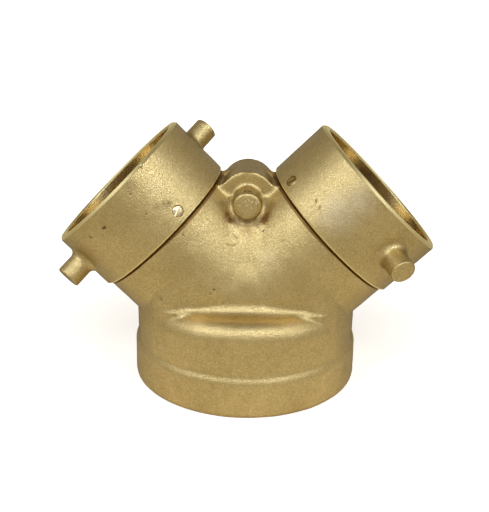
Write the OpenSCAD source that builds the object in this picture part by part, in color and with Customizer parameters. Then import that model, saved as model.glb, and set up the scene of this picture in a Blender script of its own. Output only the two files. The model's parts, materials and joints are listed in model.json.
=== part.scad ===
// Two-way fire department connection: a cast brass body with one threaded outlet, two branches
// that end in free-turning hose swivels, and one swing clapper hung in the crotch.
// Origin: centre of the outlet's bottom face. +Z runs up through the crotch, the front is -Y.
// "Station" means the distance along a branch's axis from where the two axes cross.

/* [Hub and neck] */
// Outside diameter of the hub band
hub_d = 133; // [126:0.5:150]
// Height of the hub band
hub_h = 23.6; // [18:0.2:30]
// Step in from the hub band to the neck, on the radius
neck_step = 2.1; // [1.2:0.1:4]
// Taper of the hub band, on the radius from bottom to top
hub_draft = 0.3; // [0:0.1:0.8]
// Height of the neck's shoulder above the bottom face
neck_top = 54; // [46:0.5:56]
// Rounding of the neck's shoulder
shoulder_round = 6.5; // [2:0.5:8]
// Rounding of the hub band's edges
hub_round = 1.2; // [0.5:0.1:1.8]
// Distance from the middle to the flat front and back of the plinth above the shoulder
plinth_half_depth = 46.3; // [45.6:0.1:48]
// Corner radius of the plinth, seen from above
plinth_corner = 12; // [4:1:20]
// Height of the plinth above the shoulder
plinth_h = 3; // [1:0.5:8]

/* [Outlet] */
// Radius of the outlet's pipe thread at its pitch line
outlet_thread_r = 55.7; // [50:0.1:58]
// Length of the outlet's thread
outlet_thread_l = 21; // [15:0.5:22]
// Wall of the neck round its cast bore
neck_wall = 9.4; // [7:0.2:12]

/* [Branches] */
// Angle of each branch from the vertical
branch_angle = 45; // [44:0.5:48]
// Height at which the two branch axes cross
branch_z = 40; // [36:0.5:42]
// Outside diameter of a branch
branch_d = 90.4; // [88:0.2:94]
// Wall of a branch
branch_wall = 5.2; // [4:0.1:6]
// Depth of metal from the seat's face to the swivel's seam
seat_land = 13; // [11:0.5:18]
// Bore of the seat and the tailpiece
waterway_d = 63.5; // [55:0.5:65]

/* [Crotch] */
// Height of the clapper's hinge axis
hinge_z = 109.5; // [107:0.5:113]
// Outside radius of the hinge barrel
barrel_r = 15.1; // [13:0.1:16]
// Length of the hinge barrel, front to back
barrel_l = 32; // [30:0.5:38]
// Height of the web's flat top above the hinge axis
web_rise = 8; // [5:0.5:10]
// Radius of the hollow fillet between the barrel and the web's top
web_fillet = 2; // [1:0.5:4]
// Radius of the pin boss in front of the barrel
boss_r = 7.7; // [7.5:0.1:10]
// Reach of the pin boss in front of the barrel
boss_l = 14.5; // [12:0.5:18]
// Rounding of the pin boss's front edge
boss_round = 1.9; // [0.5:0.1:2]
// Radius of the hollow fillet round the pin boss's foot
boss_fillet = 2.2; // [1:0.1:3]

/* [Swivels] */
// Outside diameter of a swivel
swivel_d = 94; // [92.5:0.5:100]
// Length of a swivel
swivel_l = 37.6; // [34:0.2:46]
// Gap between the swivel's back face and the branch
seam_gap = 0.7; // [0.3:0.05:1]
// Outside diameter of the tailpiece inside the swivel
tail_d = 81; // [79:0.5:82]
// Length of the tailpiece beyond the seam
tail_l = 16; // [15:0.5:18]
// Radial running clearance between tailpiece and swivel
running_fit = 0.08; // [0.04:0.01:0.1]
// Radius of the hose thread at its pitch line
hose_thread_r = 38.2; // [36:0.1:38.4]
// Radius of the plain mouth in front of the hose thread
mouth_r = 41.8; // [40:0.1:43]
// Depth of the plain mouth
mouth_l = 4.6; // [3:0.2:8]
// Chamfer inside the mouth's rim
mouth_chamfer = 1.3; // [0.5:0.1:2]
// Chamfer on the swivel's outer edges
rim_chamfer = 0.8; // [0.3:0.1:1.5]
// How far the left swivel is turned on its tailpiece
left_turn = 30; // [-180:1:180]
// How far the right swivel is turned on its tailpiece
right_turn = -62; // [-180:1:180]

/* [Pin lugs] */
// Diameter of a pin lug
lug_d = 12.8; // [10:0.2:16]
// Reach of a pin lug from the swivel's surface
lug_l = 13.5; // [8:0.5:20]
// Distance of the lugs' centres from the swivel's back face
lug_place = 20; // [14:0.5:24]
// Radius of the hollow fillet round a lug's foot
lug_fillet = 3.4; // [1:0.2:5]
// Chamfer on a lug's end
lug_chamfer = 0.8; // [0.2:0.1:2]

/* [Ball race] */
// Diameter of a ball
ball_d = 5.56; // [4.5:0.1:6]
// Free play left between neighbouring balls
ball_play = 0.8; // [0.3:0.1:2]
// Distance of the race from the seam
race_place = 7; // [6:0.5:9]
// Clearance between a ball and the walls of its race
ball_fit = 0.08; // [0.04:0.01:0.12]
// Diameter of the slotted plug in the ball hole
ball_plug_d = 6.4; // [6.2:0.1:8]
// Width of the plug's slot
slot_w = 0.9; // [0.6:0.1:1.4]
// Depth of the plug's slot
slot_depth = 0.9; // [0.4:0.1:1.4]

/* [Gasket] */
// Thickness of the hose gasket
gasket_t = 3.2; // [2:0.1:4.5]
// Inside diameter of the hose gasket
gasket_bore_d = 65; // [60:0.5:70]

/* [Clapper] */
// Diameter of the clapper's plate
clapper_d = 70; // [68:0.5:71]
// Thickness of the clapper's plate and arm
clapper_t = 6; // [4:0.5:7]
// Width of the clapper's arm
arm_w = 15; // [10:0.5:15.5]
// Outside diameter of the clapper's knuckle
knuckle_d = 15; // [12:0.5:16]
// Length of the clapper's knuckle
knuckle_l = 16; // [12:0.5:18]
// Diameter of the hinge pin
pin_d = 8; // [6:0.5:8.5]
// Thickness of each rubber facing
facing_t = 2.5; // [1.5:0.1:3.5]
// Diameter of each rubber facing
facing_d = 67; // [65.5:0.5:67.5]
// Thickness of each retaining plate
retainer_t = 2; // [1.5:0.1:3]
// Diameter of each retaining plate
retainer_d = 48; // [36:1:50]
// Gap left between a facing and its seat at the end of the swing
seat_gap = 0.3; // [0.2:0.05:0.6]

/* [Clapper bolt] */
// Diameter of the clapper's bolt
bolt_d = 10; // [8:0.5:12]
// Width across flats of the bolt's head and nut
hex_af = 16; // [14:0.5:19]
// Height of the bolt's head
head_h = 6.2; // [5:0.1:8]
// Height of the nut
nut_h = 8; // [6:0.2:9]
// Thickness of the lock washer
lock_washer_t = 2.2; // [1.5:0.1:3]

/* [Hinge plug] */
// Diameter of the plug that closes the pin's hole
hinge_plug_d = 11.4; // [10:0.1:11.8]
// Length of the plug
hinge_plug_l = 8; // [5:0.5:10]
// How far the plug stands out of the pin boss
hinge_plug_out = 0.2; // [0:0.1:1]
// Thickness of the seal under the plug
seal_t = 1; // [0.5:0.1:2]

/* [Hidden] */
$fn = 96;

left = -1;
right = 1;
brass = [0.74, 0.64, 0.40];
bright_brass = [0.83, 0.74, 0.48];
rubber = [0.12, 0.12, 0.12];
steel = [0.70, 0.71, 0.72];

// A cut runs this far past the face it opens
past = 1;
// Clearance of a screwed or pushed fit inside one assembly
fixed_fit = 0.05;
// Clearance of a moving piece inside a cast pocket
cast_fit = 1;
// Side play of the knuckle in its pocket
side_play = 0.4;

hub_r = hub_d / 2;
hub_top_r = hub_r - hub_draft;
// Step in from the neck to the plinth's round ends
plinth_step = 1;
neck_r = hub_r - neck_step;
edge_round = min(hub_round, neck_step * 0.5);
neck_bore_r = neck_r - neck_wall;
plinth_top = neck_top + plinth_h;

branch_r = branch_d / 2;
branch_bore_r = branch_r - branch_wall;
waterway_r = waterway_d / 2;
clapper_r = clapper_d / 2;

// The hinge axis seen from a branch: its station, and its distance from the branch's axis
hinge_station = (hinge_z - branch_z) * cos(branch_angle);
clapper_arm = (hinge_z - branch_z) * sin(branch_angle);
seat_station = hinge_station + clapper_t / 2 + facing_t + seat_gap;
seam_station = seat_station + seat_land;

tail_r = tail_d / 2;
tail_end = seam_station + tail_l;
swivel_r = swivel_d / 2;
swivel_back = seam_station + seam_gap;
swivel_mouth = swivel_back + swivel_l;
skirt_r = tail_r + running_fit;
race_station = seam_station + race_place;
race_r = tail_r + running_fit / 2;
ball_r = ball_d / 2;
race_groove_r = ball_r + ball_fit;
ball_count = floor(2 * PI * race_r / (ball_d + ball_play));
ball_plug_r = ball_plug_d / 2;
ball_plug_angle = -90;
gasket_back = tail_end + seat_gap;
gasket_front = gasket_back + gasket_t;
lug_station = swivel_back + lug_place;
lug_tip = swivel_r + lug_l;

pin_r = pin_d / 2;
barrel_face = barrel_l / 2;
boss_face = barrel_face + boss_l;
knuckle_r = knuckle_d / 2;
pocket_r = knuckle_r + cast_fit;
pocket_half_w = knuckle_l / 2 + side_play;
pocket_side = clapper_t / 2 + 2 * cast_fit;
pin_support = 5;
pin_back = pocket_half_w + pin_support;
hinge_plug_r = hinge_plug_d / 2;
pin_front = boss_face + hinge_plug_out - hinge_plug_l - seal_t;
boss_edge = min(boss_round, boss_r - hinge_plug_r - 0.1);

facing_face = clapper_t / 2 + facing_t;
retainer_face = facing_face + retainer_t;
web_top = hinge_z + web_rise;

// Points of an arc about [x, y], from angle a0 to a1
function arc(x, y, r, a0, a1, n = 4) =
    [for (i = [0:n]) let (a = a0 + (a1 - a0) * i / n) [x + r * cos(a), y + r * sin(a)]];
function mirrored(points) = [for (i = [len(points) - 1:-1:0]) [-points[i][0], points[i][1]]];

// Stands a child that was drawn along +Z on a branch's axis
module on_branch(side) translate([0, 0, branch_z]) rotate([0, side * branch_angle, 0]) children();

// Lays a child that was drawn along +Z on the hinge axis, pointing to the front
module on_hinge() translate([0, 0, hinge_z]) rotate([90, 0, 0]) children();

// Lays a child that was drawn along +Z on the clapper's bolt axis, pointing to +X
module on_clapper() translate([0, 0, hinge_z - clapper_arm]) rotate([0, 90, 0]) children();

module ring(outer_r, inner_r, h) {
    difference() {
        cylinder(r = outer_r, h = h);
        translate([0, 0, -past]) cylinder(r = inner_r, h = h + 2 * past);
    }
}

// ---- body -------------------------------------------------------------------------------------

// Hub band and neck as one turned profile. The band's top runs up to the neck at 45 degrees.
module hub_and_neck() {
    slope_foot = hub_h - (hub_top_r - neck_r) - edge_round * tan(22.5);
    rotate_extrude()
        polygon(concat(
            [[0, 0]],
            arc(hub_r - hub_round, hub_round, hub_round, -90, 0),
            arc(hub_top_r - edge_round, slope_foot, edge_round, 0, 45),
            [[neck_r, hub_h]],
            arc(neck_r - shoulder_round, neck_top - shoulder_round, shoulder_round, 0, 90),
            [[0, neck_top]]));
}

// Plan of a disc of radius r whose front and back are cut flat, with rounded corners
function flatted_disc(r, half_depth, corner) =
    let (
        corner_y = half_depth - corner,
        corner_x = sqrt(pow(r - corner, 2) - pow(corner_y, 2)),
        turn = atan2(corner_y, corner_x),
        half = concat(
            arc(0, 0, r, -turn, turn, 16),
            arc(corner_x, corner_y, corner, turn, 90, 8),
            arc(-corner_x, corner_y, corner, 90, 180 - turn, 8)))
    concat(half, [for (point = half) -point]);

// Flat-fronted plinth between the neck's shoulder and the branches
module plinth(half_depth, top) {
    translate([0, 0, hub_h]) linear_extrude(height = top - hub_h)
        polygon(flatted_disc(neck_r - plinth_step, half_depth, plinth_corner));
}

// Below its widest line each branch goes straight down to the plinth, and ends short of the seam
module branch_skirt() {
    station = seam_station - 0.4;
    widest = [station * sin(branch_angle), branch_z + station * cos(branch_angle)];
    outer = [hub_r, widest[1] - (hub_r - widest[0]) * tan(branch_angle)];
    half = [[hub_r, hub_h], outer, widest];
    intersection() {
        plinth(branch_r - 0.1, widest[1]);
        rotate([90, 0, 0]) linear_extrude(height = hub_d, center = true)
            polygon(concat(half, [[0, branch_z]], mirrored(half)));
    }
}

module branch(side) {
    on_branch(side) cylinder(r = branch_r, h = seam_station);
}

// Fills the sharp valley where the two branches meet, front and back, with a cast radius
module valley_fill() {
    half_depth = branch_r - 0.1;
    crest = (branch_r + 3.9) / sin(branch_angle);
    outline = [for (i = [0:24]) let (a = 180 * i / 24) [half_depth * cos(a), branch_z + crest * sin(a)]];
    half_w = 0.3 * branch_r;
    translate([-half_w, 0, 0]) rotate([90, 0, 90]) linear_extrude(height = 2 * half_w) polygon(outline);
}

// Web and hinge barrel between the branches, seen from the front
function crotch_outline() =
    let (
        fillet_z = web_top + web_fillet,
        fillet_x = sqrt(pow(barrel_r + web_fillet, 2) - pow(fillet_z - hinge_z, 2)),
        turn = atan2(fillet_z - hinge_z, fillet_x),
        seam = seam_station - 0.4,
        seam_x = (seam - (web_top - branch_z) * cos(branch_angle)) / sin(branch_angle),
        inside = 0.66 * branch_r,
        low_x = seam * sin(branch_angle) - inside * cos(branch_angle),
        low_z = branch_z + seam * cos(branch_angle) + inside * sin(branch_angle),
        half = concat(
            [[low_x, low_z], [seam_x, web_top]],
            arc(fillet_x, fillet_z, web_fillet, 270, 180 + turn),
            arc(0, hinge_z, barrel_r, turn, 90, 10)))
    concat([[0, branch_z + branch_r]], half, mirrored(half));

module crotch() {
    translate([0, barrel_face, 0]) rotate([90, 0, 0])
        linear_extrude(height = barrel_l) polygon(crotch_outline());
}

// Pin boss round the hinge plug, with a round front edge and a hollow fillet on the barrel's face
module pin_boss() {
    on_hinge() rotate_extrude()
        polygon(concat(
            [[0, 0], [boss_r + boss_fillet, 0]],
            arc(boss_r + boss_fillet, barrel_face + boss_fillet, boss_fillet, 270, 180, 6),
            arc(boss_r - boss_edge, boss_face - boss_edge, boss_edge, 0, 90, 6),
            [[0, boss_face]]));
}

// Tailpiece on which a swivel turns, with its half of the ball race
module tailpiece(side) {
    lead = 1;
    foot = seat_station + 2;
    on_branch(side) difference() {
        rotate_extrude()
            polygon([[0, foot], [tail_r, foot], [tail_r, tail_end - lead], [tail_r - lead, tail_end],
                [0, tail_end]]);
        race();
    }
}

// Full race groove, cut half into the tailpiece and half into the swivel
module race() {
    translate([0, 0, race_station]) rotate_extrude()
        translate([race_r, 0]) circle(r = race_groove_r, $fn = 20);
}

// Thread bore, cast bore of the neck and its cone up to the branches, as one turned profile
module outlet_bore() {
    cone_foot = neck_top - 14;
    cone_top = neck_top - 3;
    rotate_extrude()
        polygon([[0, -past], [outlet_thread_r, -past], [outlet_thread_r, outlet_thread_l],
            [neck_bore_r, outlet_thread_l + 1], [neck_bore_r, cone_foot],
            [branch_bore_r, cone_top], [0, cone_top]]);
}

module branch_bore(side) {
    on_branch(side) {
        cylinder(r = branch_bore_r, h = seat_station);
        translate([0, 0, seat_station - past]) cylinder(r = waterway_r, h = tail_l + seat_land + 2 * past);
    }
}

// Room in which the clapper's plate hangs and starts its swing
module clapper_room() {
    half_w = 12;
    on_clapper() translate([0, 0, -half_w]) cylinder(r = clapper_r + 1.5 * cast_fit, h = 2 * half_w);
}

// Pocket in the crotch for the clapper's knuckle and arm, open through the whole swing
module knuckle_pocket() {
    reach = 30;
    out = [cos(branch_angle), sin(branch_angle)];
    half = [
        [reach * out[1] + pocket_side * out[0], -reach * out[0] + pocket_side * out[1]],
        [pocket_side * out[0], pocket_side * out[1]]];
    on_hinge() translate([0, 0, -pocket_half_w]) {
        cylinder(r = pocket_r, h = 2 * pocket_half_w);
        linear_extrude(height = 2 * pocket_half_w) polygon(concat(half, mirrored(half)));
    }
}

// Stepped hole for the hinge pin and its plug, open to the front and closed at the back
module pin_hole() {
    on_hinge() {
        translate([0, 0, -pin_back]) cylinder(r = pin_r + fixed_fit, h = pin_back + boss_face);
        translate([0, 0, pin_front]) cylinder(r = hinge_plug_r + fixed_fit, h = boss_face);
    }
}

module body($fn = 64) {
    color(brass) difference() {
        union() {
            hub_and_neck();
            plinth(plinth_half_depth, plinth_top);
            for (side = [left, right]) {
                branch(side);
                tailpiece(side);
            }
            valley_fill();
            crotch();
            branch_skirt();
            pin_boss();
        }
        outlet_bore();
        for (side = [left, right]) branch_bore(side);
        clapper_room();
        knuckle_pocket();
        pin_hole();
    }
}

// ---- hinge ------------------------------------------------------------------------------------

module hinge_pin() {
    chamfer = 0.6;
    end_play = 0.3;
    back = -pin_back + end_play;
    front = pin_front - end_play;
    color(steel) on_hinge() rotate_extrude()
        polygon([[0, back], [pin_r - chamfer, back], [pin_r, back + chamfer],
            [pin_r, front - chamfer], [pin_r - chamfer, front], [0, front]]);
}

module hinge_plug_seal() {
    color(rubber) on_hinge() translate([0, 0, pin_front]) ring(hinge_plug_r - 0.2, pin_r - 0.5, seal_t);
}

// Plug screwed into the pin boss until it is nearly flush
module hinge_plug() {
    nose = 0.3;
    back = pin_front + seal_t;
    front = boss_face + hinge_plug_out;
    color(brass) on_hinge() rotate_extrude()
        polygon(concat(
            [[0, back], [hinge_plug_r, back]],
            arc(hinge_plug_r - nose, front - nose, nose, 0, 90),
            [[0, front]]));
}

// ---- swivels ----------------------------------------------------------------------------------

// Turned section of a swivel: skirt, gasket shoulder, hose thread and plain mouth
module swivel_ring() {
    step = mouth_r - hose_thread_r;
    rotate_extrude()
        polygon([
            [skirt_r, swivel_back],
            [swivel_r - rim_chamfer, swivel_back],
            [swivel_r, swivel_back + rim_chamfer],
            [swivel_r, swivel_mouth - rim_chamfer],
            [swivel_r - rim_chamfer, swivel_mouth],
            [mouth_r + mouth_chamfer, swivel_mouth],
            [mouth_r, swivel_mouth - mouth_chamfer],
            [mouth_r, swivel_mouth - mouth_l],
            [hose_thread_r, swivel_mouth - mouth_l - step],
            [hose_thread_r, gasket_front],
            [skirt_r, gasket_front]]);
}

// Pin lug with a hollow fillet at its foot, drawn along +X
module pin_lug() {
    lug_r = lug_d / 2;
    root = skirt_r + 3;
    foot = swivel_r - 0.9;
    translate([0, 0, lug_station]) rotate([0, 90, 0]) rotate_extrude()
        polygon(concat(
            [[0, root], [lug_r + lug_fillet, root], [lug_r + lug_fillet, foot]],
            arc(lug_r + lug_fillet, foot + lug_fillet, lug_fillet, 270, 180, 6),
            [[lug_r, lug_tip - lug_chamfer], [lug_r - lug_chamfer, lug_tip], [0, lug_tip]]));
}

module along_ball_plug() {
    rotate([0, 0, ball_plug_angle]) translate([0, 0, race_station]) rotate([0, 90, 0]) children();
}

module swivel(side, turn) {
    color(brass) on_branch(side) rotate([0, 0, turn]) difference() {
        union() {
            swivel_ring();
            for (half_turn = [0, 180]) rotate([0, 0, half_turn]) pin_lug();
        }
        race();
        along_ball_plug() translate([0, 0, race_r])
            cylinder(r = ball_plug_r + fixed_fit, h = swivel_r, $fn = 48);
    }
}

// Slotted plug, flush with the swivel's surface
module ball_plug(side, turn) {
    inner = race_r + race_groove_r + fixed_fit;
    outer = swivel_r - 0.1;
    slot_turn = 20;
    color(bright_brass) on_branch(side) rotate([0, 0, turn]) along_ball_plug() difference() {
        translate([0, 0, inner]) cylinder(r = ball_plug_r, h = outer - inner, $fn = 48);
        rotate([0, 0, slot_turn]) translate([-ball_plug_d, -slot_w / 2, outer - slot_depth])
            cube([2 * ball_plug_d, slot_w, slot_depth + past]);
    }
}

module balls(side) {
    color(steel) on_branch(side) for (i = [0:ball_count - 1])
        rotate([0, 0, i * 360 / ball_count]) translate([race_r, 0, race_station])
            sphere(r = ball_r, $fn = 20);
}

module gasket(side) {
    color(rubber) on_branch(side) translate([0, 0, gasket_back])
        ring(skirt_r - 0.3, gasket_bore_d / 2, gasket_t);
}

// ---- clapper ----------------------------------------------------------------------------------

module clapper() {
    color(brass) difference() {
        union() {
            on_clapper() translate([0, 0, -clapper_t / 2]) cylinder(r = clapper_r, h = clapper_t);
            translate([-clapper_t / 2, -arm_w / 2, hinge_z - clapper_arm + clapper_r / 2])
                cube([clapper_t, arm_w, clapper_arm - clapper_r / 2]);
            on_hinge() translate([0, 0, -knuckle_l / 2]) cylinder(r = knuckle_r, h = knuckle_l);
        }
        on_hinge() translate([0, 0, -knuckle_l]) cylinder(r = pin_r + running_fit, h = 2 * knuckle_l);
        on_clapper() translate([0, 0, -clapper_t]) cylinder(r = bolt_d / 2 + 0.2, h = 2 * clapper_t);
    }
}

// A flat ring on the clapper's left or right side, between two distances from its middle
module clapper_ring(side, inner_face, d, t) {
    on_clapper() translate([0, 0, side > 0 ? inner_face : -inner_face - t])
        ring(d / 2, bolt_d / 2 + 0.2, t);
}

module facing(side) {
    color(rubber) clapper_ring(side, clapper_t / 2, facing_d, facing_t);
}

module retainer(side) {
    color(brass) clapper_ring(side, facing_face, retainer_d, retainer_t);
}

module lock_washer() {
    color(steel) clapper_ring(left, retainer_face, hex_af - 0.5, lock_washer_t);
}

module hexagon(h) cylinder(d = hex_af / cos(30), h = h, $fn = 6);

// Bolt with its head on the right and its end just past the nut
module clapper_bolt() {
    thread_out = 1.5;
    end = retainer_face + lock_washer_t + nut_h + thread_out;
    color(steel) on_clapper() {
        translate([0, 0, -end]) cylinder(d = bolt_d, h = end + retainer_face + head_h / 2);
        translate([0, 0, retainer_face]) hexagon(head_h);
    }
}

module clapper_nut() {
    color(steel) on_clapper() translate([0, 0, -retainer_face - lock_washer_t - nut_h]) difference() {
        hexagon(nut_h);
        translate([0, 0, -past]) cylinder(d = bolt_d + 2 * fixed_fit, h = nut_h + 2 * past);
    }
}

body();
hinge_pin();
hinge_plug();
hinge_plug_seal();
swivel(left, left_turn);  // left_swivel
swivel(right, right_turn);  // right_swivel
ball_plug(left, left_turn);  // left_ball_plug
ball_plug(right, right_turn);  // right_ball_plug
balls(left);  // left_balls
balls(right);  // right_balls
gasket(left);  // left_gasket
gasket(right);  // right_gasket
clapper();
facing(left);  // left_facing
facing(right);  // right_facing
retainer(left);  // left_retainer
retainer(right);  // right_retainer
clapper_bolt();
lock_washer();
clapper_nut();
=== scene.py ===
"""Looks for a two-way fire department connection: a bead-blasted brass casting with two swivels."""
import json
import math

import bmesh
import bpy
import numpy as np
import openvdb
from mathutils import Matrix, Vector


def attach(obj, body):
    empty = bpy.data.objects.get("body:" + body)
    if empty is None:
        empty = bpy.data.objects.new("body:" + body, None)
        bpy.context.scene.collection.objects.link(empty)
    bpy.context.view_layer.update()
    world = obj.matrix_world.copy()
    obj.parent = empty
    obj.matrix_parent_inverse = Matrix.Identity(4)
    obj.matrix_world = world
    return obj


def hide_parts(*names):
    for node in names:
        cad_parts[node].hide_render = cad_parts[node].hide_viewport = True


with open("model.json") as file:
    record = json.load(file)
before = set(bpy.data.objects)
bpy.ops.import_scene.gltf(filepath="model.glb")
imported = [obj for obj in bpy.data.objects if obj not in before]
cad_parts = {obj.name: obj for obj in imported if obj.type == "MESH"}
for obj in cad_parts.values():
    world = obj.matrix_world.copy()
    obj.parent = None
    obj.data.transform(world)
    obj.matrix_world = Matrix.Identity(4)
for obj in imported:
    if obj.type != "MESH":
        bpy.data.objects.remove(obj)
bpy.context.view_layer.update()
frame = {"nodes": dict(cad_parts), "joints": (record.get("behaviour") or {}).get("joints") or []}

# Lengths are millimetres until a mesh is made, and metres from then on
MM = 0.001
LEFT, RIGHT = -1, 1
NAMES = {LEFT: "left", RIGHT: "right"}
SLOPE = math.sqrt(0.5)
# How far a cutter or an untrimmed shape reaches past the face it makes
SPARE = 1.0

# Places taken from the joints of the frame. The two branches' axes cross at height BRANCH_Z
JOINTS = {joint["name"]: joint for joint in frame["joints"]}
HINGE_Z = JOINTS["clapper_swing"]["pos_m"][2] / MM
BRANCH_Z = 40.0
SEAM = math.hypot(JOINTS["right_swivel_turn"]["pos_m"][0] / MM,
                  JOINTS["right_swivel_turn"]["pos_m"][2] / MM - BRANCH_Z)
# How far each swivel stands turned about its branch
TURNS = {LEFT: math.radians(30), RIGHT: math.radians(-62)}

# Hub. Its bottom face stands a hair above the floor, so that the two never coincide
HUB_R, HUB_H, HUB_DRAFT, HUB_ROUND = 66.5, 23.8, 0.3, 1.2
BAND_TILT, BAND_ROUND, FOOT_Z = math.radians(32), 0.8, 0.03
# Neck: CROWN_FALL and SHOULDER_GROWTH are what each square millimetre of x squared adds
NECK_R, NECK_FOOT, NECK_TOP, CROWN_FALL = 64.4, 10.0, 53.6, 0.0008
SHOULDER_ROUND, SHOULDER_GROWTH = 9.4, 0.0009
# Ledge: a height and a rise in its middle, each with where it ends to the sides and over what it fades
LEDGE_H, LEDGE_END, LEDGE_FADE = 2.9, 52.0, 18.0
RISE_H, RISE_END, RISE_FADE = 1.2, 25.0, 8.0
LEDGE_TILT, LEDGE_ROUND, LEDGE_FILLET = math.radians(35), 1.0, 0.6
# Cove between neck and branches: it narrows by COVE_LOSS over COVE_FADE from COVE_START to the sides
COVE_R, COVE_LOSS, COVE_START, COVE_FADE = 2.0, 1.2, 35.0, 10.0
# Flanks below the branches, and the apron that closes the valley between them
FLANK_CORNER = 6.0
APRON_START, APRON_LEAN, CLOSE_START, CLOSE_LEAN, APRON_TOP = 1.0, 0.0115, 40.0, 0.02, 52.0
OUTLET_R, OUTLET_L, NECK_BORE_R = 55.7, 21.0, 55.0

# Branches
BRANCH_R, BRANCH_BORE_R, WATERWAY_R = 45.2, 40.0, 31.75
SEAT = SEAM - 13.0
SEAT_ROUND, SEAT_RISE = 1.5, 0.5
VALLEY_R = 24.0
TAIL_R, TAIL_L = 40.5, 16.0
# The end of the casting at the seam: how far it stands past it, and the bevel at its rim
SEAM_FACE, BEVEL_R, BEVEL_END_R, BEVEL_DROP = 0.2, 44.3, 45.3, 0.75

# Crotch: the hinge barrel, the web that carries it and the pin boss
BARREL_R, BARREL_HALF, BARREL_ROUND = 15.7, 16.0, 1.2
WEB_TOP, WEB_FOOT, WEB_HALF, WEB_FILLET = HINGE_Z + 8.0, 85.0, 17.0, 1.8
BOSS_R, BOSS_FACE, BOSS_ROUND, BOSS_FILLET = 7.7, 30.5, 1.9, 2.2
CROTCH_FILLET, BOSS_FOOT_FILLET = 2.0, 4.2
PIN_R, PIN_BACK, PLUG_HOLE_R, PLUG_SEAT = 4.05, 13.4, 5.75, 21.7
# The clapper's room, its knuckle's pocket and its arm's slot
ROOM_R, ROOM_HALF = 36.5, 12.0
POCKET_R, POCKET_HALF = 8.5, 8.4
ARM_REACH, ARM_HALF = 30.0, 5.0

# Swivels
SWIVEL_R, SWIVEL_L, SEAM_GAP, SWIVEL_ROUND = 47.0, 37.6, 0.7, 0.5
SKIRT_R, SKIRT_EDGE, MOUTH_EDGE = 40.58, 0.6, 1.4
LUG_R, LUG_TIP, LUG_PLACE, LUG_FILLET, LUG_ROUND = 6.9, 60.5, 20.0, 3.4, 0.9
MOUTH_R, MOUTH_L, MOUTH_BEVEL, HOSE_R = 41.8, 6.6, 0.7, 38.2
RACE_PLACE, RACE_R, RACE_GROOVE_R = 7.0, 40.54, 2.86
GASKET_FRONT = 18.8
BALL_HOLE_R, BALL_HOLE_ENDS = 3.25, (40.0, 52.0)

# Ball plugs: size, the step at the edge, the slot, and each one's top and slot direction
SLUG_R, SLUG_FOOT, SLUG_STEP_R, SLUG_EDGE_R = 3.2, 43.6, 2.8, 2.5
SLOT_HALF_L, SLOT_HALF_W, SLOT_DEPTH = 4.0, 0.5, 1.3
SLUG_TOPS = {LEFT: SWIVEL_R + 0.1, RIGHT: SWIVEL_R - 0.4}
SLOT_TURNS = {LEFT: math.radians(100), RIGHT: math.radians(-20)}

# Threads: pitch and half depth. FLAT cuts the wave's crests and roots off
HOSE_PITCH, HOSE_DEPTH, PIPE_PITCH, PIPE_DEPTH, FLAT = 3.39, 1.0, 3.175, 0.9, 1.35

# Unevenness of the cast surfaces
BODY_WAVES, SWIVEL_WAVES = 0.07, 0.03

# Noise scales of the blasted surface, from slow mottling to single grains, and of marks' ragged edges
MOTTLE, BLOTCH, STIPPLE, GRAIN, RAGGED, RING_BREAKS = 28, 190, 900, 1500, 600, 330
# Bumps: strength, and depth in metres
GRAIN_BUMP, BLOTCH_BUMP, PIT_BUMP, PLAIN_DEPTH = (0.75, 0.00028), (0.16, 0.0009), (0.6, 0.0006), 0.0003

# Colours of the metal, and of the painted highlights and painted shade laid on it
DEEP, PALE, SPECK = (0.50, 0.380, 0.155), (0.74, 0.580, 0.265), (0.95, 0.86, 0.60)
# Colours of painted highlights
PAINTED_HIGHLIGHT, PAINTED_WHITE_HIGHLIGHT = (0.90, 0.76, 0.44), (0.92, 0.84, 0.66)
# Brown of dark grains and of the painted shade at a slant; the darkest brown of pits and of the strongest
# painted shade at a slant
GRAIN_AND_SLANT_SHADE_BROWN, PIT_AND_SLANT_SHADE_BROWN = (0.20, 0.145, 0.055), (0.10, 0.062, 0.020)
# Turned metal, and the painted highlight on the swivels' turned rims
MACHINED, PAINTED_RIM_HIGHLIGHT = (0.60, 0.46, 0.22), (1.0, 0.86, 0.42)
# The last is the painted shade along the seams, on the hub's foot and on the swivels' skirt rims; the first
# two serve patches and painted shade
RED_BROWN, GREY_BROWN, PAINTED_SHADE_BROWN = (0.33, 0.19, 0.065), (0.24, 0.165, 0.07), (0.24, 0.12, 0.03)
# Painted shade for the boss's foot, and painted light for the cove below the ledge
BOSS_FOOT_SHADE, PAINTED_COVE_LIGHT = (0.19, 0.105, 0.032), (0.90, 0.68, 0.34)

# Pits: place, reach and strength. Millimetres, as the part stands
PITS = [
    ((-74.8, -46, 101.1), 1.6, 0.8), ((-55.3, -38.8, 133), 1.3, 0.6), ((-82.9, -42.5, 94.7), 1.2, 0.5),
    ((-52.5, -45.6, 109.1), 1.0, 0.4), ((-60.3, -45, 119.7), 1.2, 0.4), ((36.2, -37.8, 115.8), 1.2, 0.5),
    ((38.2, -40.1, 112.7), 0.9, 0.4), ((-18.6, -45, 64.7), 1.2, 0.4), ((-17.3, -44.7, 66.7), 1.2, 0.6),
    ((-33.9, -42.1, 96.8), 1.3, 0.4), ((8.6, -30.6, 96.2), 0.9, 0.5), ((-8.1, -44.7, 58.5), 1.1, 0.4),
    ((-0.9, -26.2, 117.2), 1.2, 1.0), ((1.3, -26.2, 117.2), 1.2, 1.0), ((4.7, -4, 123.9), 1.3, 0.6),
    ((-45.8, -43, 59.4), 1.3, 0.45), ((-52, -39.3, 46.2), 1.4, 0.5), ((-52, -39.3, 44.2), 1.2, 0.4),
    ((-40.1, -40.7, 113.5), 1.7, 0.35), ((-6.5, -33, 94.5), 1.1, 0.6)]
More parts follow.
